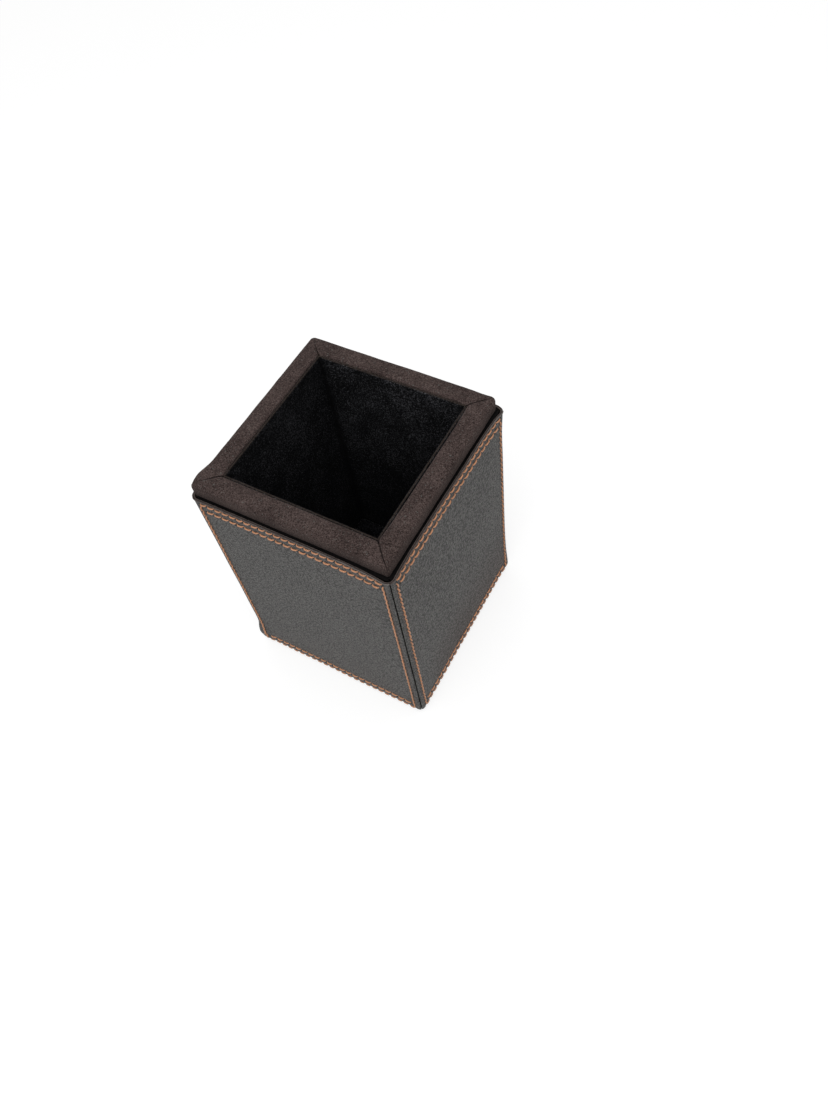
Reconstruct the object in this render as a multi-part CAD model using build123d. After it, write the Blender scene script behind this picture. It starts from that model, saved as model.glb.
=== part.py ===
"""Square leather pen cup with a suede rim, millimetres, +Z up.

The origin is on the surface that the cup stands on, in the middle of its footprint. The front
wall faces -Y and the right wall faces +X. The cup is a box of four mitred wall boards let over a
base board. A stitched leather panel covers each outer face and turns round half of each corner
and under the bottom edge. Four mitred bars, each wrapped in suede, make the raised rim, and
cards wrapped in velvet line the inside.
"""
import math
import os

from build123d import *

# Body
BODY_WIDTH = 80.0        # leather face to leather face, both ways
BODY_HEIGHT = 104.6      # underside of the leather to its top edge
OPENING = 59.2           # clear opening between the velvet faces
CORNER_RADIUS = 3.0      # upright corners and bottom edge of the leather
LEATHER = 0.9            # leather skin
BACKING = 0.6            # bonded fibre layer behind the leather
EDGE_ROLL = 0.4          # leather's top edge
LIP = 1.1                # height that the leather stands above the wall boards
CORNER_GAP = 0.5         # open seam between two leather panels at each corner
HEM = 8.0                # width of the leather that is turned under the base
BACKING_HEM = 5.0        # width of the fibre layer that is turned under with it
BASE_BOARD = 5.0         # thickness of the base board
REBATE = 4.0             # depth that the base board is let into each wall

# Rim
RIM_RISE = 6.3           # top of the rim above the leather's top edge
SUEDE = 0.8              # suede wrapped round each rim bar
RIM_CORNER = 2.0         # upright corners
RIM_TOP_OUTER = 1.9      # roll of the outer top edge
RIM_TOP_INNER = 0.7      # roll of the inner top edge
RIM_GROOVE = 2.2         # roll of the outer bottom edge, into the groove above the leather

# Lining and felt
VELVET = 0.5             # velvet on the lining cards
CARD = 0.5               # stiff card behind the velvet
LINING_DROP = 0.4        # lining's top edge below the rim's top
FLOOR_PAD = 1.5          # velvet-covered floor card
FLOOR_CLEARANCE = 0.2    # floor card to lining, each side
BASE_PAD = 1.5           # felt pad under the cup
PAD_DROP = 0.5           # felt below the leather's underside
PAD_CLEARANCE = 0.3      # felt to hem, each side

# Stitching
PITCH = 3.0              # hole to hole, in the loop near the edges
SECOND_PITCH = 3.2       # hole to hole, in the second row at the top and at the foot
STITCH_LENGTH = 2.4
STITCH_WIDTH = 0.65
STITCH_RISE = 0.6        # thread above the leather
ROW_FROM_TOP = 2.0       # upper of the two top rows, below the leather's top edge
ROW_SPACING = 3.9        # between the two rows of a double row, along the leather
ROW_FROM_SIDE = 3.44     # side row, from the neighbouring panel's face
ROW_FROM_BOTTOM = 6.0    # upper of the two bottom rows, above the leather's underside

# Derived sizes
HALF = BODY_WIDTH / 2
SKIN = LEATHER + BACKING
LEATHER_BOTTOM = PAD_DROP
LEATHER_TOP = LEATHER_BOTTOM + BODY_HEIGHT
RIM_TOP = LEATHER_TOP + RIM_RISE
WALL_BOTTOM = LEATHER_BOTTOM + SKIN
WALL_TOP = LEATHER_TOP - LIP
WALL_OUTER = HALF - SKIN
WALL_INNER = OPENING / 2 + VELVET + CARD
FLOOR_TOP = WALL_BOTTOM + BASE_BOARD
LINING_TOP = RIM_TOP - LINING_DROP
TURNS = {"front": 0, "right": 90, "back": 180, "left": 270}


def block(half, bottom, top):
    """A square block, centred on the Z axis."""
    return Pos(0, 0, (bottom + top) / 2) * Box(2 * half, 2 * half, top - bottom)


def level_edges(form, which):
    """The lowest edges of a form, which 0, or its highest, which -1."""
    return form.edges().group_by(Axis.Z)[which]


def body_form(inset):
    """The body's outer form drawn in by inset, with round upright corners and a round foot."""
    form = block(HALF - inset, LEATHER_BOTTOM + inset, LEATHER_TOP)
    form = fillet(form.edges().filter_by(Axis.Z), CORNER_RADIUS - inset)
    return fillet(level_edges(form, 0), CORNER_RADIUS - inset)


def front_quarter(bottom, top, gap=0.0):
    """The front quarter of the square plan, cut on both diagonals, less half the gap on each."""
    reach = HALF + 5
    shift = gap / math.sqrt(2)
    corners = [(0, -shift), (reach - shift, -reach), (shift - reach, -reach)]
    plan = make_face(Polyline(*corners, close=True))
    return Pos(0, 0, bottom) * extrude(plan, top - bottom)


def wall_board():
    """Front wall board: mitred ends, round outer edges, and a rebate over the base board."""
    ring = body_form(SKIN) - block(WALL_INNER, 0, RIM_TOP)
    ring -= block(WALL_INNER + REBATE, WALL_BOTTOM, FLOOR_TOP)
    return ring & front_quarter(WALL_BOTTOM, WALL_TOP)


def base_board():
    """Square board glued into the rebate of the four walls."""
    return block(WALL_INNER + REBATE, WALL_BOTTOM, FLOOR_TOP)


def panel_backing():
    """Fibre layer behind the front leather, round the corners and turned under the base."""
    shell = body_form(LEATHER) - body_form(SKIN)
    shell -= block(HALF - BACKING_HEM, 0, WALL_BOTTOM)
    return shell & front_quarter(0, WALL_TOP, CORNER_GAP)


def panel_leather():
    """Front leather: the face, half of each corner, the rolled top edge and the hem underneath."""
    outer = body_form(0)
    shell = fillet(level_edges(outer, -1), EDGE_ROLL) - body_form(LEATHER)
    shell -= block(HALF - HEM, 0, WALL_BOTTOM)
    return shell & front_quarter(0, LEATHER_TOP, CORNER_GAP)


def stitch():
    """One stitch on the XZ plane, running along X and arching towards -Y."""
    half = STITCH_LENGTH / 2
    arch = ThreePointArc((-half, 0), (0, -STITCH_RISE), (half, 0))
    chord = Line((half, 0), (-half, 0))
    return extrude(make_face([arch, chord]), STITCH_WIDTH / 2, both=True)


def row(start, end, pitch=PITCH, tilt=0.0):
    """Stitches along the front face from start to end, tilted about X where the face turns under."""
    path = Vector(*end) - Vector(*start)
    count = round(path.length / pitch)
    slope = math.degrees(math.atan2(path.Z, path.X))
    placed = []
    for index in range(count):
        centre = Vector(*start) + path * ((index + 0.5) / count)
        placed.append(Pos(*centre) * Rot(tilt, 0, 0) * Rot(0, -slope, 0) * stitch())
    return placed


def stitching():
    """The front panel's thread: a loop near the edges, and a second row at the top and the foot."""
    side = HALF - ROW_FROM_SIDE
    short = side - PITCH / 2
    top = LEATHER_TOP - ROW_FROM_TOP
    low = LEATHER_BOTTOM + ROW_FROM_BOTTOM
    roll = (ROW_SPACING - (ROW_FROM_BOTTOM - CORNER_RADIUS)) / CORNER_RADIUS
    foot_y = -HALF + CORNER_RADIUS * (1 - math.cos(roll))
    foot_z = LEATHER_BOTTOM + CORNER_RADIUS * (1 - math.sin(roll))
    side_end = LEATHER_BOTTOM + CORNER_RADIUS
    threads = row((-side, -HALF, top), (side, -HALF, top))
    threads += row((-short, -HALF, top - ROW_SPACING), (short, -HALF, top - ROW_SPACING), SECOND_PITCH)
    threads += row((-side, -HALF, top - PITCH / 2), (-side, -HALF, side_end))
    threads += row((side, -HALF, top - PITCH / 2), (side, -HALF, side_end))
    threads += row((-short, -HALF, low), (short, -HALF, low), SECOND_PITCH)
    threads += row((-side, foot_y, foot_z), (side, foot_y, foot_z), tilt=math.degrees(roll))
    return Compound(children=threads)


def rim_form(inset):
    """The whole rim frame drawn in by inset from the suede's surface."""
    form = block(WALL_OUTER - inset, WALL_TOP + inset, RIM_TOP - inset)
    form = fillet(form.edges().filter_by(Axis.Z), RIM_CORNER - inset)
    form = fillet(level_edges(form, -1), RIM_TOP_OUTER - inset)
    form = fillet(level_edges(form, 0), RIM_GROOVE - inset)
    return form - block(WALL_INNER + inset, 0, RIM_TOP + 1)


def rim_bar():
    """Front rim bar: a mitred strip of board under the suede."""
    return rim_form(SUEDE) & front_quarter(WALL_TOP, RIM_TOP)


def rim_suede():
    """Suede wrapped all the way round the front rim bar and cut on the mitres."""
    frame = rim_form(0)
    inner_top = level_edges(frame, -1).filter_by(lambda edge: max(abs(edge.center().X),
                                                                  abs(edge.center().Y)) < WALL_INNER + 0.1)
    frame = fillet(inner_top, RIM_TOP_INNER)
    return (frame - rim_form(SUEDE)) & front_quarter(WALL_TOP, RIM_TOP)


def lining_card():
    """Card against the inside of the front wall, mitred to its neighbours."""
    ring = block(WALL_INNER, FLOOR_TOP, LINING_TOP - VELVET) - block(WALL_INNER - CARD, 0, RIM_TOP)
    return ring & front_quarter(FLOOR_TOP, RIM_TOP)


def lining_velvet():
    """Velvet on the face of the front card and folded over its top edge."""
    ring = block(WALL_INNER, FLOOR_TOP, LINING_TOP) - block(OPENING / 2, 0, RIM_TOP)
    ring -= block(WALL_INNER, 0, LINING_TOP - VELVET) - block(WALL_INNER - CARD, 0, RIM_TOP)
    return ring & front_quarter(FLOOR_TOP, RIM_TOP)


def floor_pad():
    """Velvet-covered card on the base board, between the linings."""
    return block(OPENING / 2 - FLOOR_CLEARANCE, FLOOR_TOP, FLOOR_TOP + FLOOR_PAD)


def base_pad():
    """Felt pad that the cup stands on, glued inside the leather hems."""
    pad = block(HALF - HEM - PAD_CLEARANCE, 0, BASE_PAD)
    return fillet(pad.edges().filter_by(Axis.Z), RIM_CORNER)


ON_EACH_SIDE = {
    "wall_board": wall_board,
    "panel_backing": panel_backing,
    "panel_leather": panel_leather,
    "stitching": stitching,
    "rim_bar": rim_bar,
    "rim_suede": rim_suede,
    "lining_card": lining_card,
    "lining_velvet": lining_velvet,
}
ONCE = {"base_board": base_board, "floor_pad": floor_pad, "base_pad": base_pad}

os.makedirs("parts", exist_ok=True)
for name, make in ON_EACH_SIDE.items():
    piece = make()
    for side, turn in TURNS.items():
        export_step(Rot(0, 0, turn) * piece, f"parts/{name}_{side}.step")
for name, make in ONCE.items():
    export_step(make(), f"parts/{name}.step")
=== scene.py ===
"""Square pen stand: stitched dark leather over boards, a raised suede rim, a velvet-lined well."""
import math
import random

import bmesh
import bpy
from mathutils import Matrix, Vector, noise


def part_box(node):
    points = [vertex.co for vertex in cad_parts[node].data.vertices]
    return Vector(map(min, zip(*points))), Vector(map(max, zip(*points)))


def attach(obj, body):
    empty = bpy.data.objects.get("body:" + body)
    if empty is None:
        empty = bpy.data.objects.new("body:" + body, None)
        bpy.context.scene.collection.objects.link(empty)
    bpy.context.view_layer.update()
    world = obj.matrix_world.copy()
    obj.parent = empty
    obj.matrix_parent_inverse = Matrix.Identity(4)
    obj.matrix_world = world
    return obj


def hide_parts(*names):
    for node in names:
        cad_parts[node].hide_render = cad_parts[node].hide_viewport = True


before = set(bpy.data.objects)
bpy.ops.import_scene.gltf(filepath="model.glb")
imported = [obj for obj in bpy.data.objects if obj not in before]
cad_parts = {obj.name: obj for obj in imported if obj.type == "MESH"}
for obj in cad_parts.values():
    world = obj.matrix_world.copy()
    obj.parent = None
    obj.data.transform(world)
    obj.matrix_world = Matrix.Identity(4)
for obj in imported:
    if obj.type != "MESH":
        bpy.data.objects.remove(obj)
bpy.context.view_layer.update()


# ---- Carcass ---------------------------------------------------------------------------------
# Four mitred wall boards are glued round the rebate of a base board. All are fibreboard, dyed
# black before gluing, so that nothing pale shows through the open seams between the leathers.
MM = 0.001
SIDES = ("front", "right", "back", "left")
DYE = (0.003, 0.003, 0.003, 1)
DYED_FIBRE = (0.009, 0.008, 0.008, 1)


def wire(tree, node, sockets):
    """Sets a node's sockets. A value that is another node's output is linked instead."""
    for name, value in sockets.items():
        if isinstance(value, bpy.types.NodeSocket):
            tree.links.new(value, node.inputs[name])
        else:
            node.inputs[name].default_value = value


def place(tree, kind, sockets=None, **settings):
    """Adds a shader node with these settings, then sets or links its sockets."""
    node = tree.nodes.new("ShaderNode" + kind)
    for name, value in settings.items():
        setattr(node, name, value)
    wire(tree, node, sockets or {})
    return node


def ramp(tree, factor, *stops):
    """The colour that a factor picks from a ramp of (place, colour) stops."""
    node = place(tree, "ValToRGB", {"Fac": factor})
    elements = node.color_ramp.elements
    elements.remove(elements[-1])
    elements[0].position, elements[0].color = stops[0]
    for at, colour in stops[1:]:
        elements.new(at).color = colour
    return node.outputs["Color"]


def new_finish(name):
    """A new material, with its node tree and its Principled shader."""
    material = bpy.data.materials.new(name)
    material.use_nodes = True
    return material, material.node_tree, material.node_tree.nodes["Principled BSDF"]


def new_group(name, inputs, outputs):
    """A shader node group of plain number sockets, with its entry and its exit node."""
    group = bpy.data.node_groups.new(name, "ShaderNodeTree")
    for socket, value in inputs.items():
        made = group.interface.new_socket(name=socket, in_out="INPUT", socket_type="NodeSocketFloat")
        made.default_value = value
    for socket in outputs:
        group.interface.new_socket(name=socket, in_out="OUTPUT", socket_type="NodeSocketFloat")
    return group, group.nodes.new("NodeGroupInput"), group.nodes.new("NodeGroupOutput")


# Tone: slow and fine variation of a surface's colour. Sizes are in repeats per metre.
tone_group, entry, leave = new_group("tone", {"Patches": 60, "Grit": 2500, "Grit Share": 0.3}, ["Tone"])
spot = place(tone_group, "TexCoord").outputs["Object"]
patches = place(tone_group, "TexNoise", {"Vector": spot, "Scale": entry.outputs["Patches"], "Detail": 2})
grit = place(tone_group, "TexNoise", {"Vector": spot, "Scale": entry.outputs["Grit"], "Detail": 3})
mixed = place(tone_group, "Mix", {"Factor": entry.outputs["Grit Share"],
                                  "A": patches.outputs["Fac"], "B": grit.outputs["Fac"]})
wire(tone_group, leave, {"Tone": mixed.outputs["Result"]})


def finish_node(name, material):
    """Gives a CAD node, whose shape is kept, this material."""
    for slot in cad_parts[name].material_slots:
        slot.material = material


dyed_board, tree, shader = new_finish("dyed_fibreboard")
tone = place(tree, "Group", {"Patches": 150, "Grit": 5000, "Grit Share": 0.6}, node_tree=tone_group)
pressed = place(tree, "Bump", {"Height": tone.outputs["Tone"], "Strength": 0.5, "Distance": 0.0001})
wire(tree, shader, {"Base Color": ramp(tree, tone.outputs["Tone"], (0.35, DYE), (0.7, DYED_FIBRE)),
                    "Roughness": 1.0, "Normal": pressed.outputs["Normal"], "Specular IOR Level": 0.05})
for node in ["base_board"] + ["wall_board_" + side for side in SIDES]:
    finish_node(node, dyed_board)


# ---- Backing ---------------------------------------------------------------------------------
# A bonded fibre sheet, 0.6 mm, is glued behind each leather and gives it body. It stops short of
# the leather's top edge and is turned under the foot with it.
FIBRE_DARK = (0.004, 0.004, 0.004, 1)
FIBRE_LIGHT = (0.012, 0.011, 0.011, 1)

backing, tree, shader = new_finish("bonded_fibre")
spot = place(tree, "TexCoord").outputs["Object"]
strands = place(tree, "TexNoise", {"Vector": spot, "Scale": 1800, "Detail": 5, "Distortion": 2.5})
matted = place(tree, "Bump", {"Height": strands.outputs["Fac"], "Strength": 0.7, "Distance": 0.00015})
wire(tree, shader, {"Base Color": ramp(tree, strands.outputs["Fac"], (0.35, FIBRE_DARK), (0.7, FIBRE_LIGHT)),
                    "Roughness": 1.0, "Normal": matted.outputs["Normal"], "Specular IOR Level": 0.05})
for side in SIDES:
    finish_node("panel_backing_" + side, backing)


# ---- Leather panels --------------------------------------------------------------------------
# One skin of pebbled leather a side, cut flat, sewn near its edges, and folded round the carcass:
# half of each corner, under the foot, and over the top edge, which is turned into two lips.
panel_low, panel_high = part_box("panel_leather_front")
HALF = -panel_low.y                      # middle of the stand to the leather's face
BOTTOM, TOP = panel_low.z, panel_high.z
BODY = TOP - BOTTOM
HEM_END = panel_high.y + HALF            # how far the hem reaches in under the foot
CORNER = 3.0 * MM                        # round upright corners and foot
FLAT = HALF - CORNER                     # the flat face ends here, sideways
FOOT = BODY - CORNER                     # and here, downwards
FOOT_ARC = CORNER * math.pi / 2
GAP = 0.30 * MM                          # open seam between two leathers
EDGE = 0.35 * MM                         # roll of a side edge, where it turns into the seam
TUCK = 1.2 * MM                          # skin inside the seam
HEM_GAP = 0.04 * MM                      # half the gap between two hems under the foot
# The corner's turn at which that roll starts, and the roll's own at which it ends.
EDGE_FROM = math.radians(45) - math.asin((GAP / 2 + EDGE) / (CORNER - EDGE))
EDGE_TO = math.radians(135)
FACE_END = FLAT + CORNER * EDGE_FROM
ROLL_END = FACE_END + EDGE * (EDGE_TO - EDGE_FROM)
SKIN_SIDE = ROLL_END + TUCK
SEAM_FROM = FACE_END + 0.6 * (ROLL_END - FACE_END)   # out of the light from here on
LIP = 0.25 * MM                          # radius of each lip of the top edge
LIP_MEET = math.radians(4)               # the notch where the two lips meet
LIP_ARC = LIP * (math.pi - LIP_MEET)
LIP_SPACING = 2 * LIP * math.cos(LIP_MEET)
LIP_DROP = 1.0 * MM                      # skin down behind the lips
LIP_NOTCH = LIP - LIP_ARC                # from here on, how far below the top edge in the flat skin
LIP_CREST = LIP - LIP * math.pi / 2
SECOND_CREST = LIP_NOTCH - LIP * (math.pi / 2 - LIP_MEET)
BEHIND_LIPS = LIP_NOTCH - LIP_ARC
SKIN_TOP = BEHIND_LIPS - LIP_DROP

# Sewing, in the flat skin: (from the middle, below the top edge) of each row's two ends, how many
# stitches it has, and how proud they stand, as a share.
ROW_SIDE = HALF - 3.44 * MM
ROW_SHORT = ROW_SIDE - 1.55 * MM
ROW_TOP, ROW_TOP_LOW = 2.0 * MM, 5.7 * MM
ROW_FOOT, ROW_FOOT_LOW = BODY - 6.0 * MM, BODY - 2.1 * MM
SIDE_FROM = ROW_TOP + 1.55 * MM
ROWS = (
    (Vector((-ROW_SIDE, ROW_TOP)), Vector((ROW_SIDE, ROW_TOP)), 24, 1.0),
    (Vector((-ROW_SHORT, ROW_TOP_LOW)), Vector((ROW_SHORT, ROW_TOP_LOW)), 22, 1.0),
    (Vector((-ROW_SIDE, SIDE_FROM)), Vector((-ROW_SIDE, FOOT)), 33, 0.8),
    (Vector((ROW_SIDE, SIDE_FROM)), Vector((ROW_SIDE, FOOT)), 33, 0.8),
    (Vector((-ROW_SHORT, ROW_FOOT)), Vector((ROW_SHORT, ROW_FOOT)), 22, 0.7),
    (Vector((-ROW_SIDE, ROW_FOOT_LOW)), Vector((ROW_SIDE, ROW_FOOT_LOW)), 24, 0.0),
)

ROW_VALLEY, ROW_VALLEY_WIDTH = 0.15 * MM, 0.65 * MM   # how the thread draws the leather in
ROW_REACH = 2.0 * MM                                  # a row draws in nothing further out sideways
HOLE_DEPTH, HOLE_WIDTH = 0.45 * MM, 0.42 * MM
HOLE_SHADE_WIDTH = 1.4 * HOLE_WIDTH
LIP_CREASE, LIP_CREASE_AT = 0.24 * MM, 0.70 * MM      # fold line below the top edge
SIDE_CREASE, SIDE_CREASE_AT = 0.10 * MM, FLAT + 0.75 * MM
CREASE_WIDTH = 0.15 * MM
LIP_CREASE_SHADE, SIDE_CREASE_SHADE = 0.75, 0.70      # how dark a crease is at its deepest
NOTCH_SHADE, SHADE_EDGE, CREST_WIDTH = 0.30 * MM, 0.12 * MM, 0.28 * MM   # widths of painted shade and of the crests' brown and painted highlight
HIGHLIGHT_FROM, HIGHLIGHT_FADE, HIGHLIGHT_PATCH = 2.0 * MM, 22.0 * MM, 4.0 * MM   # a painted highlight lies on the outer lip here
HIGHLIGHT_SHARE = 0.7                                      # how strong that painted highlight is, before its patches differ
BOW, BOW_FADE = 0.37 * MM, 40.0 * MM                  # the glued top edge is drawn in between its ends
LIP_PROUD, LIP_PROUD_FADE = 0.30 * MM, 0.40 * MM      # the turned edge stands out from the face
PINCH, PINCH_TOP, PINCH_FOOT = 0.07 * MM, 1.2 * MM, 4.0 * MM   # a seam closes at its top and foot
WAVE, WAVE_SIZE = 0.10 * MM, 18.0 * MM                # hand-glued unevenness of the face

# How the folded layers stand out at the four corners, from the front's left end round the stand:
# spring of the top edge of the panel that ends there and of the one that starts there, bulk at the
# top, bulk at the foot, how far up that is and how far it fades, and how far the top edge sags.
CORNERS = ((0.15 * MM, 0.0, 0.10 * MM, 1.8 * MM, 7.5 * MM, 6.0 * MM, 0.0),
           (0.75 * MM, 0.20 * MM, 0.35 * MM, 0.35 * MM, 0.0, 8.0 * MM, 0.0),
           (0.35 * MM, -0.20 * MM, 0.40 * MM, 1.0 * MM, 0.0, 13.0 * MM, 1.1 * MM),
           (0.40 * MM, 0.20 * MM, 0.45 * MM, 0.9 * MM, 0.0, 8.0 * MM, 0.2 * MM))
SPRING_SIZE = 9.0 * MM
BULK_FROM, BULK_TO, BULK_FADE = FLAT - 4.5 * MM, FLAT + 2.1 * MM, 8.0 * MM


def bell(distance, width):
    """From 1 at no distance to nearly 0 at twice the width."""
    return math.exp(-(distance / width) ** 2)


def steps(start, end, count):
    """Equal steps from start to end, without the start."""
    return [start + (end - start) * (i + 1) / count for i in range(count)]


def corner_section(across):
    """How far right of the corner's centre, and out from it, the skin is where it bends round."""
    if across < FACE_END:
        turn = (across - FLAT) / CORNER
        return CORNER * math.sin(turn), CORNER * math.cos(turn)
    turn = min(EDGE_FROM + (across - FACE_END) / EDGE, EDGE_TO)
    into = max(across - ROLL_END, 0) * math.sqrt(0.5)
    right = (CORNER - EDGE) * math.sin(EDGE_FROM) + EDGE * math.sin(turn) - into
    out = (CORNER - EDGE) * math.cos(EDGE_FROM) + EDGE * math.cos(turn) - into
    return right, out


def upright_section(down):
    """How far in from the face, and how high, the skin is at this distance below its top edge."""
    if down > FOOT:
        turn = min((down - FOOT) / CORNER, math.pi / 2)
        under = max(down - FOOT - FOOT_ARC, 0)
        return CORNER * (1 - math.cos(turn)) + under, BOTTOM + CORNER * (1 - math.sin(turn))
    if down > LIP:
        return 0, TOP - down
    over = LIP - down
    lip, turned = (0, over) if over < LIP_ARC else (1, over - LIP_ARC)
    turn = min(turned / LIP + lip * LIP_MEET, math.pi)
    drop = max(turned - LIP_ARC, 0)
    inset = LIP * (1 - math.cos(turn)) + lip * LIP_SPACING
    return inset, TOP - LIP + LIP * math.sin(turn) - drop


def skin_point(across, down):
    """Where a point of the front leather, given in the flat skin, lies when it is folded."""
    inset, height = upright_section(down)
    if inset >= CORNER:
        reach = min(abs(across), HALF - inset - HEM_GAP)
        return Vector((math.copysign(reach, across), inset - HALF, height))
    shrink = 1 - inset / CORNER
    right, out = corner_section(abs(across)) if abs(across) > FLAT else (abs(across) - FLAT, CORNER)
    reach = FLAT + right * (shrink if right > 0 else 1)
    return Vector((math.copysign(reach, across), -FLAT - out * shrink, height))


def from_row(row, across, down):
    """Distance from a row of stitches, and from its nearest needle hole, in the flat skin."""
    start, end, count, _ = row
    run = end - start
    away = Vector((across, down)) - start
    share = min(max(away.dot(run) / run.length_squared, 0), 1)
    hole = run * (round(share * count) / count)
    return (away - run * share).length, (away - hole).length


def relief(across, down):
    """How far the folded skin stands out at a point, and how deep in a needle hole or fold it is."""
    out = 0
    deep = 0
    for row in ROWS:
        start, end, _, _ = row
        if abs(across) > max(abs(start.x), abs(end.x)) + ROW_REACH:
            continue
        beside, hole = from_row(row, across, down)
        out -= ROW_VALLEY * bell(beside, ROW_VALLEY_WIDTH) + HOLE_DEPTH * bell(hole, HOLE_WIDTH)
        deep = max(deep, bell(hole, HOLE_SHADE_WIDTH))
    lip_crease = bell(down - LIP_CREASE_AT, CREASE_WIDTH)
    side_crease = bell(abs(across) - SIDE_CREASE_AT, CREASE_WIDTH)
    out -= LIP_CREASE * lip_crease + SIDE_CREASE * side_crease
    return out, max(deep, LIP_CREASE_SHADE * lip_crease), SIDE_CREASE_SHADE * side_crease


def edge_shade(across, down):
    """How deep a point lies in the painted shade of the lips and seams, how much of the crests' brown it
    takes, and how much painted highlight its outer lip has.
    """
    notch = bell(down - LIP_NOTCH, NOTCH_SHADE)
    behind = min(max((BEHIND_LIPS + SHADE_EDGE - down) / SHADE_EDGE, 0), 1)
    seam = min(max((abs(across) - SEAM_FROM) / SHADE_EDGE, 0), 1)
    patch = HIGHLIGHT_SHARE + noise.noise(Vector((across, 0, 0)) / HIGHLIGHT_PATCH)
    highlit = min(max((across - HIGHLIGHT_FROM) / HIGHLIGHT_FADE, 0), 1) * patch
    outer, second = bell(down - LIP_CREST, CREST_WIDTH), bell(down - SECOND_CREST, CREST_WIDTH)
    return max(notch, behind, seam), max(second, outer * (1 - highlit)), outer * max(highlit, 0)


def glued_point(across, down):
    """Where a point of the flat skin lies once the panel is folded and glued on."""
    drawn = BOW * max(1 - (across / HALF) ** 4, 0) * math.exp(-max(down, 0) / BOW_FADE)
    side = min(max((abs(across) - FLAT) / (FACE_END - FLAT), 0), 1)
    closed = PINCH * side ** 2 * max(bell(max(down, 0), PINCH_TOP), bell(max(BODY - down, 0), PINCH_FOOT))
    proud = LIP_PROUD * min(max((LIP_CREASE_AT - down) / LIP_PROUD_FADE, 0), 1)
    turn = math.copysign(math.radians(45) * side, across)
    return skin_point(across, down) + Vector((math.copysign(closed, across) + proud * math.sin(turn),
                                              drawn + closed - proud * math.cos(turn), 0))


def settle(mesh, turn):
    """Gives a side's leather or thread its corners' bulk and the glue's unevenness, then turns it."""
    for vert in mesh.vertices:
        x, y, z = vert.co
        end = 1 if x > 0 else -1
        corner = CORNERS[(turn + 1) % 4 if x > 0 else turn]
        ending, starting, bulk_top, bulk_foot, foot_at, foot_fade, sag = corner
        outward, along = (ending, starting) if x > 0 else (starting, ending)
        spring = bell(HALF - abs(x), SPRING_SIZE) * math.exp(-(TOP - z) / BOW_FADE)
        near = min(max((abs(x) - BULK_FROM) / (BULK_TO - BULK_FROM), 0), 1)
        bulk = bulk_top * bell(TOP - z, BULK_FADE) + bulk_foot * bell(z - BOTTOM - foot_at, foot_fade)
        bulk *= near * near
        wave = WAVE * noise.noise(Vector((x, y, z + turn)) / WAVE_SIZE)
        vert.co = (x + end * (along * spring + bulk * math.sin(math.radians(45) * near)),
                   y - outward * spring - bulk * math.cos(math.radians(45) * near) + wave,
                   z - sag * near * near * bell(TOP - z, BULK_FADE))
    mesh.transform(Matrix.Rotation(math.radians(90 * turn), 4, "Z"))


# Where the lines of the skin's mesh run, across and down the flat skin: closest where it folds.
half_width = (steps(0, ROW_SIDE, 96) + [FLAT] + steps(FLAT, FACE_END, 8)
              + steps(FACE_END, ROLL_END, 6) + steps(ROLL_END, SKIN_SIDE, 2))
ACROSS = [-x for x in reversed(half_width)] + [0] + half_width
DOWN = ([SKIN_TOP] + steps(SKIN_TOP, LIP - 2 * LIP_ARC, 2) + steps(LIP - 2 * LIP_ARC, LIP - LIP_ARC, 6)
        + steps(LIP - LIP_ARC, LIP, 6) + steps(LIP, 1.0 * MM, 8) + steps(1.0 * MM, ROW_TOP, 3)
        + steps(ROW_TOP, SIDE_FROM, 4) + steps(SIDE_FROM, FOOT, 256)
        + steps(FOOT, FOOT + FOOT_ARC, 12) + steps(FOOT + FOOT_ARC, FOOT + FOOT_ARC + HEM_END - CORNER, 3))


def add_piece(name, mesh, material, slot_name, *nodes):
    """Makes a mesh a piece of the stand: it gets its finish, rides, and stands for CAD nodes."""
    mesh.materials.append(material)
    mesh.shade_smooth()
    piece = bpy.data.objects.new(name, mesh)
    bpy.context.scene.collection.objects.link(piece)
    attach(piece, "root")
    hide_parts(*nodes)
    return piece


def to_mesh(name, shape):
    """A mesh from a bmesh, which is freed."""
    mesh = bpy.data.meshes.new(name)
    shape.to_mesh(mesh)
    shape.free()
    return mesh


def folded_skin():
    """The front leather, folded and drawn in along its seams, before the glue's unevenness."""
    shape = bmesh.new()
    columns, lines = len(ACROSS) - 1, len(DOWN) - 1
    bmesh.ops.create_grid(shape, x_segments=columns, y_segments=lines, size=0.5)
    deep = shape.verts.layers.float.new("deep")
    folded = shape.verts.layers.float.new("folded")
    painted_highlight = shape.verts.layers.float.new("painted_highlight")
    shape.verts.layers.float.new("painted_foot_shade")   # filled in for each side
    flat = {}
    for vert in shape.verts:
        across = ACROSS[round((vert.co.x + 0.5) * columns)]
        down = DOWN[round((0.5 - vert.co.y) * lines)]
        flat[vert] = across, down
        vert.co = glued_point(across, down)
    shape.normal_update()
    for vert, (across, down) in flat.items():
        vert[deep], vert[folded], vert[painted_highlight] = edge_shade(across, down)
        if LIP < down < FOOT + FOOT_ARC and abs(across) < FACE_END:
            out, vert[deep], vert[folded] = relief(across, down)
            vert.co += vert.normal * out
    bmesh.ops.remove_doubles(shape, verts=shape.verts, dist=0.005 * MM)
    bmesh.ops.recalc_face_normals(shape, faces=shape.faces)
    return to_mesh("folded_skin", shape)


def scaled(tree, value, times, plus):
    """A value that changes over the surface, times a number, plus a number or another such value."""
    return place(tree, "Math", {0: value, 1: times, 2: plus}, operation="MULTIPLY_ADD").outputs["Value"]


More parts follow.
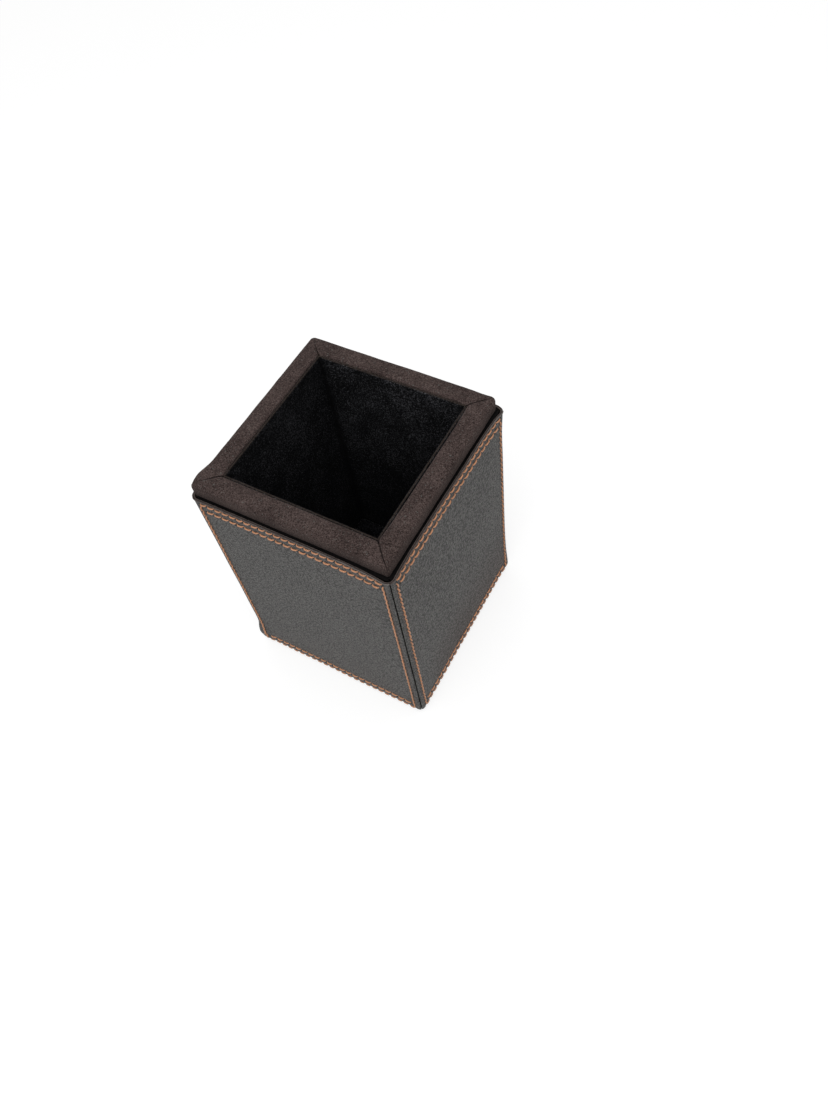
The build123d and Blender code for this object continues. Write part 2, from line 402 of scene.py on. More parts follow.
def lay_over(tree, share, under, overlay_colour, how="MIX"):
    """A colour with another laid over it, by a share that may change over the surface."""
    coloured = place(tree, "MixRGB", {"Fac": share, "Color1": under, "Color2": overlay_colour}, blend_type=how)
    return coloured.outputs["Color"]


def layer_share(tree, layer):
    """The share, from 0 to 1, that a piece's vertices carry in this layer."""
    return place(tree, "Attribute", attribute_name=layer).outputs["Fac"]


GRAIN_DARK = (0.040, 0.0388, 0.0373, 1)
GRAIN_MID = (0.086, 0.0834, 0.0795, 1)
GRAIN_TOP = (0.142, 0.1375, 0.1310, 1)
PORE_DARK = (0.022, 0.0212, 0.0204, 1)
# painted shade in the needle holes, the lips' notch and crease, behind the lips and in the seams
HOLE_SHADE = (0.008, 0.005, 0.004, 1)
# painted shade in the side creases, and a dull brown on the lips' crests
FOLD_TINT = (0.095, 0.070, 0.062, 1)
# painted highlight on the outer lip
LIP_HIGHLIGHT = (0.230, 0.200, 0.185, 1)
PAINTED_FOOT_SHADE = (0.74, 0.62, 0.58, 1)       # painted brown shade, which multiplies what is under it
FOOT_SHADE_SHARES = (0.2, 1.0, 0.2, 0.2)           # how much painted brown shade each side has low down, a little to its right
FOOT_SHADE_AT, FOOT_SHADE_REACH = 8.0 * MM, 40.0 * MM     # its middle, and how far it goes to each side
FOOT_SHADE_LOW, FOOT_SHADE_FADE = 10.0 * MM, 22.0 * MM    # full up to here, and how it fades above

leather, tree, shader = new_finish("pebbled_leather")
spot = place(tree, "TexCoord").outputs["Object"]
pull = place(tree, "TexNoise", {"Vector": spot, "Scale": 1500, "Detail": 2})
pulled = place(tree, "VectorMath", {0: pull.outputs["Color"], 1: (0.0003,) * 3, 2: spot},
               operation="MULTIPLY_ADD")
pebbles = place(tree, "TexVoronoi", {"Vector": pulled.outputs["Vector"], "Scale": 1350, "Smoothness": 0.5,
                                     "Randomness": 0.8}, feature="SMOOTH_F1")
raised = place(tree, "MapRange", {"Value": pebbles.outputs["Distance"], "From Min": 0.15, "From Max": 0.70,
                                  "To Min": 1.0, "To Max": 0.0}).outputs["Result"]
pores = place(tree, "TexNoise", {"Vector": spot, "Scale": 2600, "Detail": 3, "Roughness": 0.6})
height = scaled(tree, pores.outputs["Fac"], 1.2, raised)
tone = place(tree, "Group", {"Patches": 70, "Grit": 2600, "Grit Share": 0.7}, node_tree=tone_group)
# The leather's own tone, with the raised pebbles painted lighter and the hollows between them darker, as
# painted highlight and shade.
tone_and_painted_highlight = scaled(tree, raised, 0.85, scaled(tree, tone.outputs["Tone"], 0.7, -0.35))
coloured = ramp(tree, tone_and_painted_highlight, (0.0, GRAIN_DARK), (0.42, GRAIN_MID), (0.85, GRAIN_TOP))
speck = place(tree, "TexNoise", {"Vector": spot, "Scale": 2100, "Detail": 1})
pore = place(tree, "MapRange", {"Value": speck.outputs["Fac"], "From Min": 0.60, "From Max": 0.70,
                                "To Max": 0.8})
coloured = lay_over(tree, pore.outputs["Result"], coloured, PORE_DARK)
# painted brown shade low on each side
coloured = lay_over(tree, layer_share(tree, "painted_foot_shade"), coloured, PAINTED_FOOT_SHADE, "MULTIPLY")
# painted highlight on the outer lip, brown on the crests, and painted shade in the creases, holes and seams
for layer, overlay_colour in (("painted_highlight", LIP_HIGHLIGHT), ("folded", FOLD_TINT), ("deep", HOLE_SHADE)):
    coloured = lay_over(tree, layer_share(tree, layer), coloured, overlay_colour)
gloss = place(tree, "MapRange", {"Value": raised, "To Min": 0.70, "To Max": 0.48})
grain = place(tree, "Bump", {"Height": height, "Strength": 0.9, "Distance": 0.00024})
wire(tree, shader, {"Base Color": coloured, "Roughness": gloss.outputs["Result"],
                    "Normal": grain.outputs["Normal"], "Specular IOR Level": 0.32})

skin = folded_skin()
for turn, side in enumerate(SIDES):
    mesh = skin.copy()
    for vert, painted_foot_shade in zip(mesh.vertices, mesh.attributes["painted_foot_shade"].data):
        low = bell(max(vert.co.z - BOTTOM - FOOT_SHADE_LOW, 0), FOOT_SHADE_FADE)
        painted_foot_shade.value = FOOT_SHADE_SHARES[turn] * low * max(1 - ((vert.co.x - FOOT_SHADE_AT) / FOOT_SHADE_REACH) ** 4, 0)
    settle(mesh, turn)
    add_piece("leather_" + side, mesh, leather, "leather", "panel_leather_" + side)


# ---- Stitching -------------------------------------------------------------------------------
# Thick copper-coloured thread, two plies twisted, sewn by machine through leather and backing
# before gluing. Each stitch rises from one needle hole, lies proud, and dives into the next.
THREAD = 0.62 * MM
STITCH_RISE = 0.18 * MM                  # centre of the thread above the leather, mid-stitch
STITCH_DIVE = 1.15 * MM                  # how far its ends fall below that
STITCH_BEND = 6.0                        # how late in its length it dives, as a power
STITCH_SLANT = 0.12 * MM                 # the ends lie to either side of the row
STITCH_SHARE = 0.86                      # its length, of the distance from hole to hole
STITCH_SQUEEZE = 0.25                    # how much narrower it is at its ends
STITCH_LEAN, STITCH_STRAY = 2.5, 0.012   # spread of its turn, in degrees, and of its place, in pitches
STITCH_SWELL = ((0.97, 1.02), (0.93, 1.07), (0.92, 1.08))   # limits of its length, width and height
STITCH_RINGS, STITCH_SIDES = 11, 8
JITTER = random.Random(14)


def stitch_mesh(length, proud):
    """One stitch along X, arching over Z, as a bent tube of a few rings."""
    shape = bmesh.new()
    plan = shape.loops.layers.uv.new("plies")
    bmesh.ops.create_circle(shape, segments=STITCH_SIDES, radius=THREAD / 2)
    upright = Matrix.Rotation(math.radians(90), 4, "Y")
    bmesh.ops.transform(shape, matrix=upright, verts=shape.verts)
    edges = shape.edges[:]
    for _ in range(STITCH_RINGS - 1):
        made = bmesh.ops.extrude_edge_only(shape, edges=edges)["geom"]
        ring = [v for v in made if isinstance(v, bmesh.types.BMVert)]
        bmesh.ops.translate(shape, vec=(1, 0, 0), verts=ring)
        edges = [e for e in made if isinstance(e, bmesh.types.BMEdge)
                 and abs(e.verts[0].co.x - e.verts[1].co.x) < 0.5]
    for vert in shape.verts:
        share = math.sin(math.pi / 2 * (2 * vert.co.x / (STITCH_RINGS - 1) - 1))
        fall = STITCH_DIVE * STITCH_BEND * abs(share) ** (STITCH_BEND - 1) / (length / 2)
        slope = math.copysign(math.atan(fall), share)
        rise = STITCH_RISE * proud - STITCH_DIVE * abs(share) ** STITCH_BEND
        lift = vert.co.z
        vert.co = Vector((length / 2 * share + lift * math.sin(slope),
                          vert.co.y * (1 - STITCH_SQUEEZE * share * share) + STITCH_SLANT * share,
                          rise + lift * math.cos(slope)))
    for face in shape.faces:
        for loop in face.loops:
            loop[plan].uv = loop.vert.co.xy / MM
    bmesh.ops.recalc_face_normals(shape, faces=shape.faces)
    return to_mesh("stitch", shape)


def seat(start, end, share):
    """The frame in which a stitch lies, at a share of the way along a row of the front leather."""
    at = start.lerp(end, share)
    nudge = 0.05 * MM
    right = (glued_point(at.x + nudge, at.y) - glued_point(at.x - nudge, at.y)).normalized()
    below = (glued_point(at.x, at.y + nudge) - glued_point(at.x, at.y - nudge)).normalized()
    out = below.cross(right)
    run = (end - start).normalized()
    along = right * run.x + below * run.y
    axes = Matrix((along, out.cross(along), out)).transposed().to_4x4()
    return Matrix.Translation(glued_point(at.x, at.y)) @ axes


# The plies' ridges are painted lit and the troughs between them are painted in shade.
COPPER_LIT = (0.62, 0.295, 0.155, 1)
COPPER_MID = (0.42, 0.190, 0.100, 1)
COPPER_DEEP = (0.14, 0.058, 0.032, 1)
PLY_TURNS = 2.1                          # ply ridges per millimetre, across their slant

thread, tree, shader = new_finish("copper_thread")
plan = place(tree, "UVMap", uv_map="plies").outputs["UV"]
slant = place(tree, "Mapping", {"Vector": plan, "Rotation": (0, 0, math.radians(52))})
plies = place(tree, "TexWave", {"Vector": slant.outputs["Vector"], "Scale": PLY_TURNS / 2, "Distortion": 0.6},
              wave_profile="SIN")
hairs = place(tree, "TexNoise", {"Vector": slant.outputs["Vector"], "Scale": 9, "Detail": 3})
tone = place(tree, "Group", {"Patches": 300, "Grit": 6000, "Grit Share": 0.5}, node_tree=tone_group)
lay = scaled(tree, plies.outputs["Fac"], 0.5, hairs.outputs["Fac"])
shade = scaled(tree, tone.outputs["Tone"], 0.5, lay)
spun = ramp(tree, shade, (0.45, COPPER_DEEP), (0.75, COPPER_MID), (1.0, COPPER_LIT))
twist = place(tree, "Bump", {"Height": lay, "Strength": 0.6, "Distance": 0.0001})
wire(tree, shader, {"Base Color": spun, "Roughness": 0.55, "Normal": twist.outputs["Normal"],
                    "Sheen Weight": 0.15, "Sheen Roughness": 0.4})

for turn, side in enumerate(SIDES):
    shape = bmesh.new()
    for start, end, count, proud in ROWS:
        one = stitch_mesh((end - start).length / count * STITCH_SHARE, proud)
        for index in range(count):
            known = len(shape.verts)
            shape.from_mesh(one)
            shape.verts.ensure_lookup_table()
            lean = Matrix.Rotation(math.radians(JITTER.gauss(0, STITCH_LEAN)), 4, "Z")
            swell = Matrix.Diagonal([JITTER.uniform(*limits) for limits in STITCH_SWELL] + [1])
            where = seat(start, end, (index + 0.5 + JITTER.gauss(0, STITCH_STRAY)) / count)
            bmesh.ops.transform(shape, matrix=where @ lean @ swell, verts=shape.verts[known:])
        bpy.data.meshes.remove(one)
    mesh = to_mesh("stitches_" + side, shape)
    settle(mesh, turn)
    add_piece("stitches_" + side, mesh, thread, "thread", "stitching_" + side)


# ---- Rim bars --------------------------------------------------------------------------------
# Bare fibreboard strips, mitred and glued on the wall boards, give the raised rim its height.
# The suede hides them.
BARE_DARK = (0.20, 0.135, 0.085, 1)
BARE_LIGHT = (0.38, 0.28, 0.19, 1)

bare_board, tree, shader = new_finish("bare_fibreboard")
tone = place(tree, "Group", {"Patches": 200, "Grit": 4500, "Grit Share": 0.6}, node_tree=tone_group)
pressed = place(tree, "Bump", {"Height": tone.outputs["Tone"], "Strength": 0.5, "Distance": 0.0001})
wire(tree, shader, {"Base Color": ramp(tree, tone.outputs["Tone"], (0.35, BARE_DARK), (0.7, BARE_LIGHT)),
                    "Roughness": 0.8, "Normal": pressed.outputs["Normal"]})
for side in SIDES:
    finish_node("rim_bar_" + side, bare_board)


# ---- Rim suede -------------------------------------------------------------------------------
# A strip of brown suede is wrapped round each rim bar and cut on the mitres. Its lower edge rolls
# under into the groove above the leather, and the hand-cut mitre seams wander a little.
rim_low, rim_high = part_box("rim_suede_front")
RIM_HALF, RIM_INNER = -rim_low.y, -rim_high.y
RIM_BOTTOM, RIM_TOP = rim_low.z, rim_high.z
RIM_ROLLS = ((0, 2.2 * MM), (2, 1.2 * MM), (3, 1.9 * MM))   # outer foot, inner top and outer top edge
RIM_LONG, RIM_CUTS = 1.5 * MM, 9                        # edges of the section past this length are cut
RIM_CORNERS = (0.8 * MM, 1.1 * MM, 2.2 * MM, 2.0 * MM)  # radii, from the front's left end round the rim
RIM_STEPS = 190                                         # along each bar
SEAM_GAP, SEAM_CLOSED = 0.12 * MM, 0.02 * MM            # a seam is open near the well, closed beyond
SEAMS_OPEN = (0.45, 1.2, 0.55, 0.30)                    # how far out each is open, as a share
SEAM_CLOSES = 0.25                                      # and over what share it closes
SEAM_DIP, SEAM_WIDTH = 0.20 * MM, 0.30 * MM
SEAM_SHADE = 0.22 * MM                                  # width of the shade beside a seam
SEAM_CLOSED_SHADE, SEAM_CLOSED_DIP = 0.25, 0.20         # what a closed seam keeps of an open one's
SEAM_CALM = 2.0 * MM                                    # the suede's lumps die out this near a seam
SEAM_WANDER, SEAM_WANDER_SIZE = 0.75 * MM, 3.5 * MM
SUEDE_LUMP, SUEDE_LUMP_SIZE = 0.10 * MM, 7.0 * MM
SUEDE_NAP, SUEDE_NAP_SIZE = 0.035 * MM, 0.9 * MM
RIM_BOW = 0.25 * MM                                     # the foot of its side is drawn in between its ends
INNER_OPEN = (0.0, 0.5 * MM, 0.4 * MM, 0.5 * MM)        # how far each bar's inner edge is off the lining
INNER_SHARE = 0.35                                      # width of what that moves, as a share of the bar's
GROOVE_SHADE, GROOVE_SHADE_TOP = 0.9, 4.6 * MM          # painted shade low on the side, up to this height

# At each corner, in the same order: how far the bar that ends there stands out, how far the one that
# starts there does, and how far both rise. All are greatest at RIM_FLARE_AT from the corner.
RIM_FLARES = ((1.1 * MM, 0.0, 0.3 * MM), (0, 0, 0), (-0.2 * MM, -0.2 * MM, -0.15 * MM), (0, 0, 0))
RIM_FLARE_AT, RIM_FLARE_SIZE = 5.0 * MM, 4.5 * MM


def rim_section():
    """The bar's wrapped section as one face on the YZ plane, with three of its edges rolled."""
    shape = bmesh.new()
    corners = [shape.verts.new((0, y, z)) for y, z in ((-RIM_HALF, RIM_BOTTOM), (-RIM_INNER, RIM_BOTTOM),
                                                      (-RIM_INNER, RIM_TOP), (-RIM_HALF, RIM_TOP))]
    shape.faces.new(corners)
    for index, radius in RIM_ROLLS:
        bmesh.ops.bevel(shape, geom=[corners[index]], offset=radius, offset_type="OFFSET",
                        segments=7, profile=0.5, affect="VERTICES", material=-1)
    long_edges = [e for e in shape.edges if e.calc_length() > RIM_LONG]
    bmesh.ops.subdivide_edges(shape, edges=long_edges, cuts=RIM_CUTS)
    return shape


def wander(corner, out_share, out):
    """How far the seam at a corner strays sideways, at this distance out from the middle."""
    stray = noise.noise(Vector((out / SEAM_WANDER_SIZE, 7.3 * corner, 0.5)))
    return SEAM_WANDER * math.sin(math.pi * out_share) * stray


def wrap_rim(turn):
    """Suede round the front bar, its ends cut to the mitres of this side's two corners."""
    shape = rim_section()
    section = shape.faces[:] + shape.edges[:] + shape.verts[:]
    bmesh.ops.spin(shape, geom=section, axis=(0, 0, 1), angle=0, steps=RIM_STEPS,
                   dvec=(2 / RIM_STEPS, 0, 0), use_merge=False, use_duplicate=False)
    bmesh.ops.recalc_face_normals(shape, faces=shape.faces)
    shape.normal_update()
    deep = shape.verts.layers.float.new("deep")
    for vert in shape.verts:
        share = math.sin((vert.co.x - 1) * math.pi / 2)
        out = -vert.co.y
        out_share = (out - RIM_INNER) / (RIM_HALF - RIM_INNER)
        corner = (turn + 1) % 4 if share > 0 else turn
        stray = wander(corner, out_share, out) * (1 if share > 0 else -1)
        opened = min(max((SEAMS_OPEN[corner] + SEAM_CLOSES - out_share) / SEAM_CLOSES, 0), 1)
        gap = SEAM_CLOSED + (SEAM_GAP - SEAM_CLOSED) * opened
        reach = out - gap / 2 + stray * abs(share) ** 8
        x = reach * share
        to_seam = reach - abs(x)
        above = vert.co.z - RIM_BOTTOM
        # painted shade beside the seams and low on the outer side
        low = min(max(1 - above / GROOVE_SHADE_TOP, 0), 1) * (out_share > 0.5)
        shade = SEAM_CLOSED_SHADE + (1 - SEAM_CLOSED_SHADE) * opened
        vert[deep] = max(bell(to_seam, SEAM_SHADE) * shade, GROOVE_SHADE * low)
        lift = (SUEDE_LUMP * noise.noise(Vector((x, out, vert.co.z + turn)) / SUEDE_LUMP_SIZE)
                + SUEDE_NAP * noise.noise(Vector((x, out, vert.co.z + turn)) / SUEDE_NAP_SIZE))
        calm = min(to_seam / SEAM_CALM, 1)
        dip = SEAM_DIP * (SEAM_CLOSED_DIP + (1 - SEAM_CLOSED_DIP) * opened) * bell(to_seam, SEAM_WIDTH)
        move = vert.normal * (lift * calm - dip)
        move.y += RIM_BOW * (1 - share ** 4) * out_share * (1 - above / (RIM_TOP - RIM_BOTTOM))
        move.y -= INNER_OPEN[turn] * (1 - share ** 6) * bell(out_share, INNER_SHARE)
        ending, starting, raised = RIM_FLARES[corner]
        outward, along = (ending, starting) if share > 0 else (starting, ending)
        flare = bell(RIM_HALF - abs(x) - RIM_FLARE_AT, RIM_FLARE_SIZE) * out_share
        bend = RIM_HALF - RIM_CORNERS[corner]
        vert.co = Vector((x, vert.co.y + move.y, vert.co.z + move.z))
        if abs(x) > bend and out > bend:
            away = Vector((abs(x) - bend, out - bend))
            square = max(away)
            away *= square / away.length
            vert.co.x = math.copysign(bend + away.x, x)
            vert.co.y = -bend - away.y + move.y
        vert.co.x += along * flare * (1 if x > 0 else -1)
        vert.co.y -= outward * flare
        vert.co.z += raised * flare * above / (RIM_TOP - RIM_BOTTOM)
    bmesh.ops.recalc_face_normals(shape, faces=shape.faces)
    return to_mesh("rim", shape)


# Nap: the short fibres of suede, velvet and felt, with sparse pale flecks. Repeats per metre.
nap_group, entry, leave = new_group("nap", {"Fibres": 3000, "Flecks": 1500}, ["Height", "Fleck"])
spot = place(nap_group, "TexCoord").outputs["Object"]
fibres = place(nap_group, "TexNoise", {"Vector": spot, "Scale": entry.outputs["Fibres"], "Detail": 5,
                                       "Roughness": 0.75, "Distortion": 0.5})
specks = place(nap_group, "TexNoise", {"Vector": spot, "Scale": entry.outputs["Flecks"], "Detail": 1})
fleck = place(nap_group, "MapRange", {"Value": specks.outputs["Fac"], "From Min": 0.68, "From Max": 0.76})
wire(nap_group, leave, {"Height": fibres.outputs["Fac"], "Fleck": fleck.outputs["Result"]})

SUEDE_DEEP = (0.0085, 0.0056, 0.0050, 1)
SUEDE_MID = (0.046, 0.0318, 0.0292, 1)
SUEDE_PALE = (0.116, 0.0860, 0.0784, 1)
SUEDE_FLECK = (0.105, 0.105, 0.098, 1)
# painted shade in the seams and low on the side
PAINTED_SUEDE_SHADE = (0.006, 0.004, 0.004, 1)

suede, tree, shader = new_finish("brown_suede")
nap = place(tree, "Group", {"Fibres": 2500, "Flecks": 1700}, node_tree=nap_group)
tone = place(tree, "Group", {"Patches": 120, "Grit": 1500, "Grit Share": 0.5}, node_tree=tone_group)
stroke = scaled(tree, tone.outputs["Tone"], 0.3, nap.outputs["Height"])
stroked = ramp(tree, stroke, (0.52, SUEDE_DEEP), (0.65, SUEDE_MID), (0.80, SUEDE_PALE))
flecked = lay_over(tree, nap.outputs["Fleck"], stroked, SUEDE_FLECK)
shaded_suede = lay_over(tree, layer_share(tree, "deep"), flecked, PAINTED_SUEDE_SHADE)
pile = place(tree, "Bump", {"Height": stroke, "Strength": 0.9, "Distance": 0.00018})
wire(tree, shader, {"Base Color": shaded_suede, "Roughness": 0.95, "Normal": pile.outputs["Normal"],
                    "Specular IOR Level": 0.10, "Sheen Weight": 0.06, "Sheen Roughness": 0.5,
                    "Sheen Tint": (0.75, 0.60, 0.55, 1)})
for turn, side in enumerate(SIDES):
    mesh = wrap_rim(turn)
    mesh.transform(Matrix.Rotation(math.radians(90 * turn), 4, "Z"))
    add_piece("rim_" + side, mesh, suede, "suede", "rim_suede_" + side)


# ---- Lining ----------------------------------------------------------------------------------
# Grey cards stand against the inside of the walls. Each is covered in black velvet, which is
# folded over the card's top edge, whose crest shows a thin brownish line of dust and painted sheen.
CARD_DARK = (0.22, 0.20, 0.17, 1)
CARD_LIGHT = (0.34, 0.31, 0.27, 1)

card, tree, shader = new_finish("grey_card")
tone = place(tree, "Group", {"Patches": 250, "Grit": 7000, "Grit Share": 0.5}, node_tree=tone_group)
wire(tree, shader, {"Base Color": ramp(tree, tone.outputs["Tone"], (0.3, CARD_DARK), (0.7, CARD_LIGHT)),
                    "Roughness": 0.85})
for side in SIDES:
    finish_node("lining_card_" + side, card)

lining_low, lining_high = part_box("lining_velvet_front")
LINING_FACE, LINING_BACK = -lining_high.y, -lining_low.y
LINING_TOP, LINING_FOOT = lining_high.z, lining_low.z
FOLD = (LINING_BACK - LINING_FACE) / 2
FOLD_DROP = 3.0 * MM                     # velvet turned down behind the card
FOLD_CREST_WIDTH = 0.32 * MM                  # half the width of the dust and painted sheen on its crest
FOLD_LEANS = (0.15 * MM, 0.40 * MM, 0.20 * MM, 0.12 * MM)   # how far each side's fold leans out
FOLD_LEAN_FADE = 2.0 * MM
PILE_LUMP, PILE_LUMP_SIZE = 0.05 * MM, 1.1 * MM
LINING_BOW, LINING_BOW_SIZE = 0.12 * MM, 25.0 * MM
FOLD_RAG, FOLD_RAG_SIZE = 0.22 * MM, 0.6 * MM
FOLD_END = FOLD_DROP + math.pi * FOLD    # how far along the velvet its fold ends
FINE_END = FOLD_DROP + 12 * MM           # and how far its steps are short ones
lining_run = (steps(0, FOLD_DROP, 6) + steps(FOLD_DROP, FOLD_END, 10) + steps(FOLD_END, FINE_END, 20)
              + steps(FINE_END, LINING_TOP - LINING_FOOT + FOLD_DROP, 60))
LINING_COLUMNS = 130


def lining_point(share, run, turn):
    """A point of the front velvet: share of its half width, and run up its back, over and down."""
    over = min(max((run - FOLD_DROP) / FOLD, 0), math.pi)
    straight = max(FOLD_DROP - run, run - FOLD_DROP - math.pi * FOLD, 0)
    height = LINING_TOP - FOLD + FOLD * math.sin(over) - straight
    out = LINING_FACE + FOLD + FOLD * math.cos(over)
    spot = Vector((share * out, height, 9.0 * turn))
    rag = FOLD_RAG * noise.noise(spot / FOLD_RAG_SIZE) * math.sin(over)
    bow = LINING_BOW * noise.noise(spot / LINING_BOW_SIZE) + PILE_LUMP * noise.noise(spot / PILE_LUMP_SIZE)
    bow *= (1 - share * share) * (over >= math.pi)
    lean = FOLD_LEANS[turn] * math.exp((height - LINING_TOP) / FOLD_LEAN_FADE)
    return Vector((share * (out + lean), bow - out - lean, max(height, LINING_FOOT) + rag))


VELVET_DEEP = (0.0025, 0.0025, 0.0028, 1)
# the pale fibres are brightened to stand in for the pile's sheen: painted sheen
VELVET_LIT = (0.0860, 0.0865, 0.0950, 1)
# dust and painted sheen on the fold's crest
PILE_BROWN = (0.038, 0.0290, 0.0243, 1)
VELVET_FLECK = (0.022, 0.021, 0.020, 1)
SIDE_SHADES = (0.0, 0.0, 0.0, 0.55)     # painted shade on each side's pile, strongest at its top
SIDE_SHADE_FADE = 25.0 * MM
# painted shade in the well's upright corners
CORNER_SHADE, CORNER_SHADE_SIZE = 0.9, 2.2 * MM
WELL_SHADE_DEPTH = 95.0 * MM                      # painted shade grows on the pile down to this depth
WELL_SHADE = 0.6                     # how much of its pale colour the painted shade takes from there on

velvet, tree, shader = new_finish("black_velvet")
nap = place(tree, "Group", {"Fibres": 1900, "Flecks": 1500}, node_tree=nap_group)
tone = place(tree, "Group", {"Patches": 90, "Grit": 1600, "Grit Share": 0.5}, node_tree=tone_group)
stroke = scaled(tree, tone.outputs["Tone"], 0.3, nap.outputs["Height"])
pile_with_painted_light = ramp(tree, stroke, (0.66, VELVET_DEEP), (0.80, VELVET_LIT))
height = place(tree, "SeparateXYZ", {"Vector": place(tree, "TexCoord").outputs["Object"]}).outputs["Z"]
well_shade_share = place(tree, "MapRange", {"Value": height, "From Min": LINING_TOP,
                                     "From Max": LINING_TOP - WELL_SHADE_DEPTH,
                                     "To Max": WELL_SHADE}).outputs["Result"]
for share in (well_shade_share, layer_share(tree, "painted_wall_shade")):
    pile_with_painted_light = lay_over(tree, share, pile_with_painted_light, VELVET_DEEP)
ragged = place(tree, "MapRange", {"Value": nap.outputs["Height"], "From Min": 0.35, "From Max": 0.5})
crest = place(tree, "Math", {0: layer_share(tree, "folded"), 1: ragged.outputs["Result"]},
              operation="MULTIPLY")
painted_highlight = lay_over(tree, crest.outputs["Value"], pile_with_painted_light, PILE_BROWN)
flecked = lay_over(tree, nap.outputs["Fleck"], painted_highlight, VELVET_FLECK)
pile = place(tree, "Bump", {"Height": nap.outputs["Height"], "Strength": 0.8, "Distance": 0.0002})
wire(tree, shader, {"Base Color": flecked, "Roughness": 1.0, "Normal": pile.outputs["Normal"],
                    "Specular IOR Level": 0.03, "Sheen Weight": 0.015, "Sheen Roughness": 0.4,
                    "Sheen Tint": (0.85, 0.92, 1.0, 1)})

for turn, side in enumerate(SIDES):
    shape = bmesh.new()
    lines = len(lining_run) - 1
    bmesh.ops.create_grid(shape, x_segments=LINING_COLUMNS, y_segments=lines, size=0.5)
    fold_layer = shape.verts.layers.float.new("folded")
    painted_wall_shade = shape.verts.layers.float.new("painted_wall_shade")
    for vert in shape.verts:
        run = lining_run[round((vert.co.y + 0.5) * lines)]
        share = 2 * vert.co.x
        vert.co = lining_point(share, run, turn)
        # painted shade in the corners and high on one side
        corner = CORNER_SHADE * bell((1 - abs(share)) * LINING_FACE, CORNER_SHADE_SIZE)
        vert[painted_wall_shade] = max(corner, SIDE_SHADES[turn] * math.exp((vert.co.z - LINING_TOP) / SIDE_SHADE_FADE))
        vert[fold_layer] = bell(run - FOLD_DROP - math.pi / 2 * FOLD, FOLD_CREST_WIDTH)
    bmesh.ops.recalc_face_normals(shape, faces=shape.faces)
    mesh = to_mesh("velvet_" + side, shape)
    mesh.transform(Matrix.Rotation(math.radians(90 * turn), 4, "Z"))
    piece = add_piece("velvet_" + side, mesh, velvet, "velvet", "lining_velvet_" + side)


# ---- Floor and base pads ---------------------------------------------------------------------
# A velvet-covered card lies on the base board at the bottom of the well. Under the stand, a pad of
# black felt is glued inside the leather hems and stands half a millimetre proud of them.
def soft_pad(node, edge):
    """A pad that fills a CAD pad's box, with rounded edges."""
    low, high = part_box(node)
    shape = bmesh.new()
    bmesh.ops.create_cube(shape, size=1)
    bmesh.ops.scale(shape, vec=high - low, verts=shape.verts)
    bmesh.ops.translate(shape, vec=(low + high) / 2, verts=shape.verts)
    bmesh.ops.bevel(shape, geom=shape.edges[:], offset=edge, offset_type="OFFSET", segments=4,
                    profile=0.5, affect="EDGES", material=-1)
    return to_mesh(node, shape)


FELT_DARK = (0.006, 0.006, 0.007, 1)
FELT_LIGHT = (0.022, 0.022, 0.024, 1)

felt, tree, shader = new_finish("black_felt")
nap = place(tree, "Group", {"Fibres": 1800, "Flecks": 700}, node_tree=nap_group)
pressed = place(tree, "Bump", {"Height": nap.outputs["Height"], "Strength": 0.8, "Distance": 0.0002})
wire(tree, shader, {"Base Color": ramp(tree, nap.outputs["Height"], (0.35, FELT_DARK), (0.7, FELT_LIGHT)),
                    "Roughness": 1.0, "Normal": pressed.outputs["Normal"], "Specular IOR Level": 0.1,
                    "Sheen Weight": 0.1})
add_piece("well_floor", soft_pad("floor_pad", 0.4 * MM), velvet, "velvet", "floor_pad")
add_piece("foot_felt", soft_pad("base_pad", 0.4 * MM), felt, "felt", "base_pad")


# ---- Studio ----------------------------------------------------------------------------------
# The stand is on a white table that runs out of the picture. The camera looks down on one corner.
CAMERA_PLACE = Vector((134.9, -145.8, 337.2)) * MM
CAMERA_HEADING, CAMERA_TILT, CAMERA_ROLL = 38.29, 33.23, -11.02   # degrees; tilt is up from straight down
LENS, FILM = 28.54, 36.0
TABLE_REACH = 3.0
TABLE_WHITE = (0.38, 0.38, 0.38, 1)
TABLE_GLOW = 0.68                        # makes up the white that the camera sees, and lights nothing
ROOM_LIGHT = 0.55                        # strength of the white room on the stand; the camera sees 1
LIT_POINT = Vector((0, 0, 80)) * MM      # what the lamps face

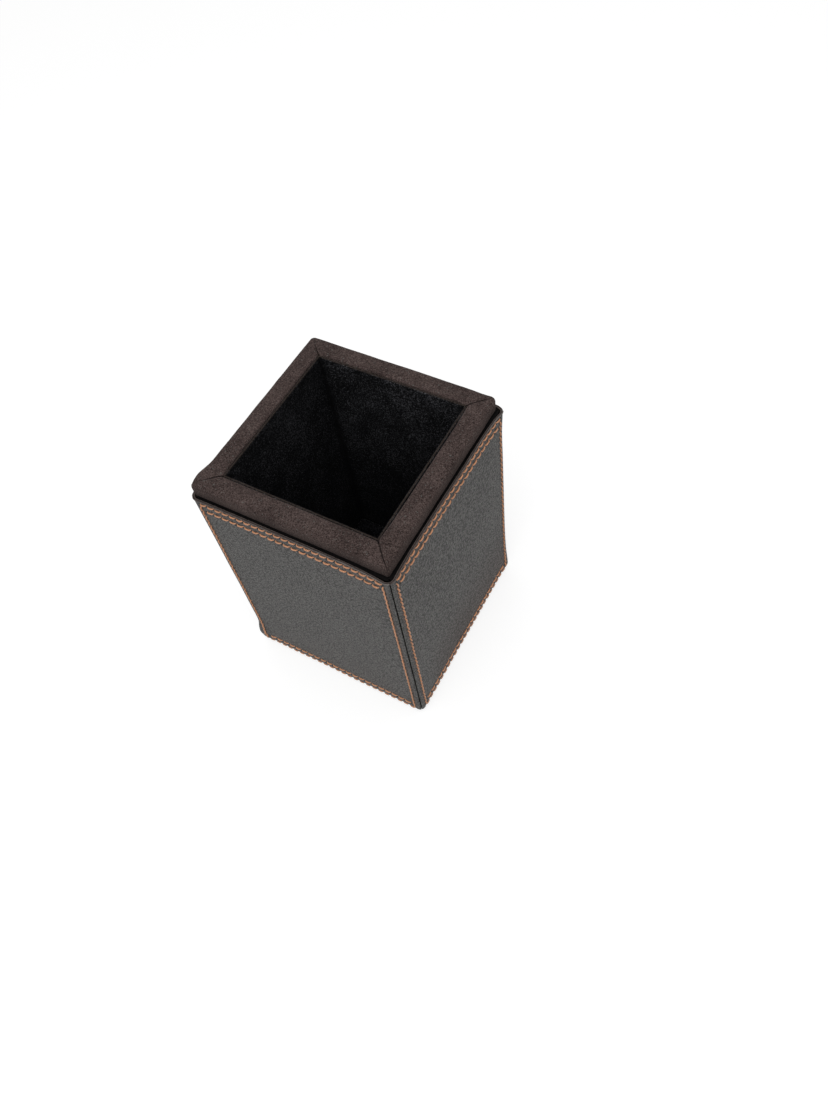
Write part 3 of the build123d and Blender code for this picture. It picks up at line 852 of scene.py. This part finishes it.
camera = bpy.data.cameras.new("camera")
camera.lens, camera.sensor_width, camera.sensor_fit = LENS, FILM, "AUTO"
camera.clip_start = 0.01
camera_object = bpy.data.objects.new("camera", camera)
camera_object.matrix_world = (Matrix.Translation(CAMERA_PLACE)
                              @ Matrix.Rotation(math.radians(CAMERA_HEADING), 4, "Z")
                              @ Matrix.Rotation(math.radians(CAMERA_TILT), 4, "X")
                              @ Matrix.Rotation(math.radians(CAMERA_ROLL), 4, "Z"))
bpy.context.scene.collection.objects.link(camera_object)
bpy.context.scene.camera = camera_object

white, tree, shader = new_finish("white_table")
path = place(tree, "LightPath")
seen = path.outputs["Is Camera Ray"]
for ray in ("Is Glossy Ray", "Is Transmission Ray"):
    seen = place(tree, "Math", {0: seen, 1: path.outputs[ray]}, operation="MAXIMUM").outputs["Value"]
glow = place(tree, "Math", {0: seen, 1: TABLE_GLOW}, operation="MULTIPLY")
wire(tree, shader, {"Base Color": TABLE_WHITE, "Roughness": 0.9, "Specular IOR Level": 0.0,
                    "Emission Color": (1, 1, 1, 1), "Emission Strength": glow.outputs["Value"]})
shape = bmesh.new()
bmesh.ops.create_grid(shape, x_segments=1, y_segments=1, size=TABLE_REACH)
table_mesh = to_mesh("table", shape)
table_mesh.materials.append(white)
table = bpy.data.objects.new("table", table_mesh)
bpy.context.scene.collection.objects.link(table)

world = bpy.data.worlds.new("studio")
bpy.context.scene.world = world
world.use_nodes = True
tree = world.node_tree
path = place(tree, "LightPath")
strength = place(tree, "MapRange", {"Value": path.outputs["Is Camera Ray"], "To Min": ROOM_LIGHT,
                                    "To Max": 1.0})
wire(tree, tree.nodes["Background"], {"Color": (1, 1, 1, 1), "Strength": strength.outputs["Result"]})


def soft_lamp(name, heading, height, distance, size, power):
    """A square lamp that faces the stand: from which way and how high, in degrees, and from how far."""
    lamp = bpy.data.lights.new(name, "AREA")
    lamp.size, lamp.energy = size, power
    made = bpy.data.objects.new(name, lamp)
    turn = Matrix.Rotation(math.radians(heading), 4, "Z") @ Matrix.Rotation(math.radians(90 - height), 4, "X")
    made.matrix_world = Matrix.Translation(LIT_POINT) @ turn @ Matrix.Translation((0, 0, distance))
    bpy.context.scene.collection.objects.link(made)


soft_lamp("window", heading=28, height=55, distance=1.1, size=0.9, power=6.1)
soft_lamp("ceiling", heading=0, height=88, distance=1.3, size=1.2, power=3.8)

bpy.context.scene.view_settings.view_transform = "Standard"
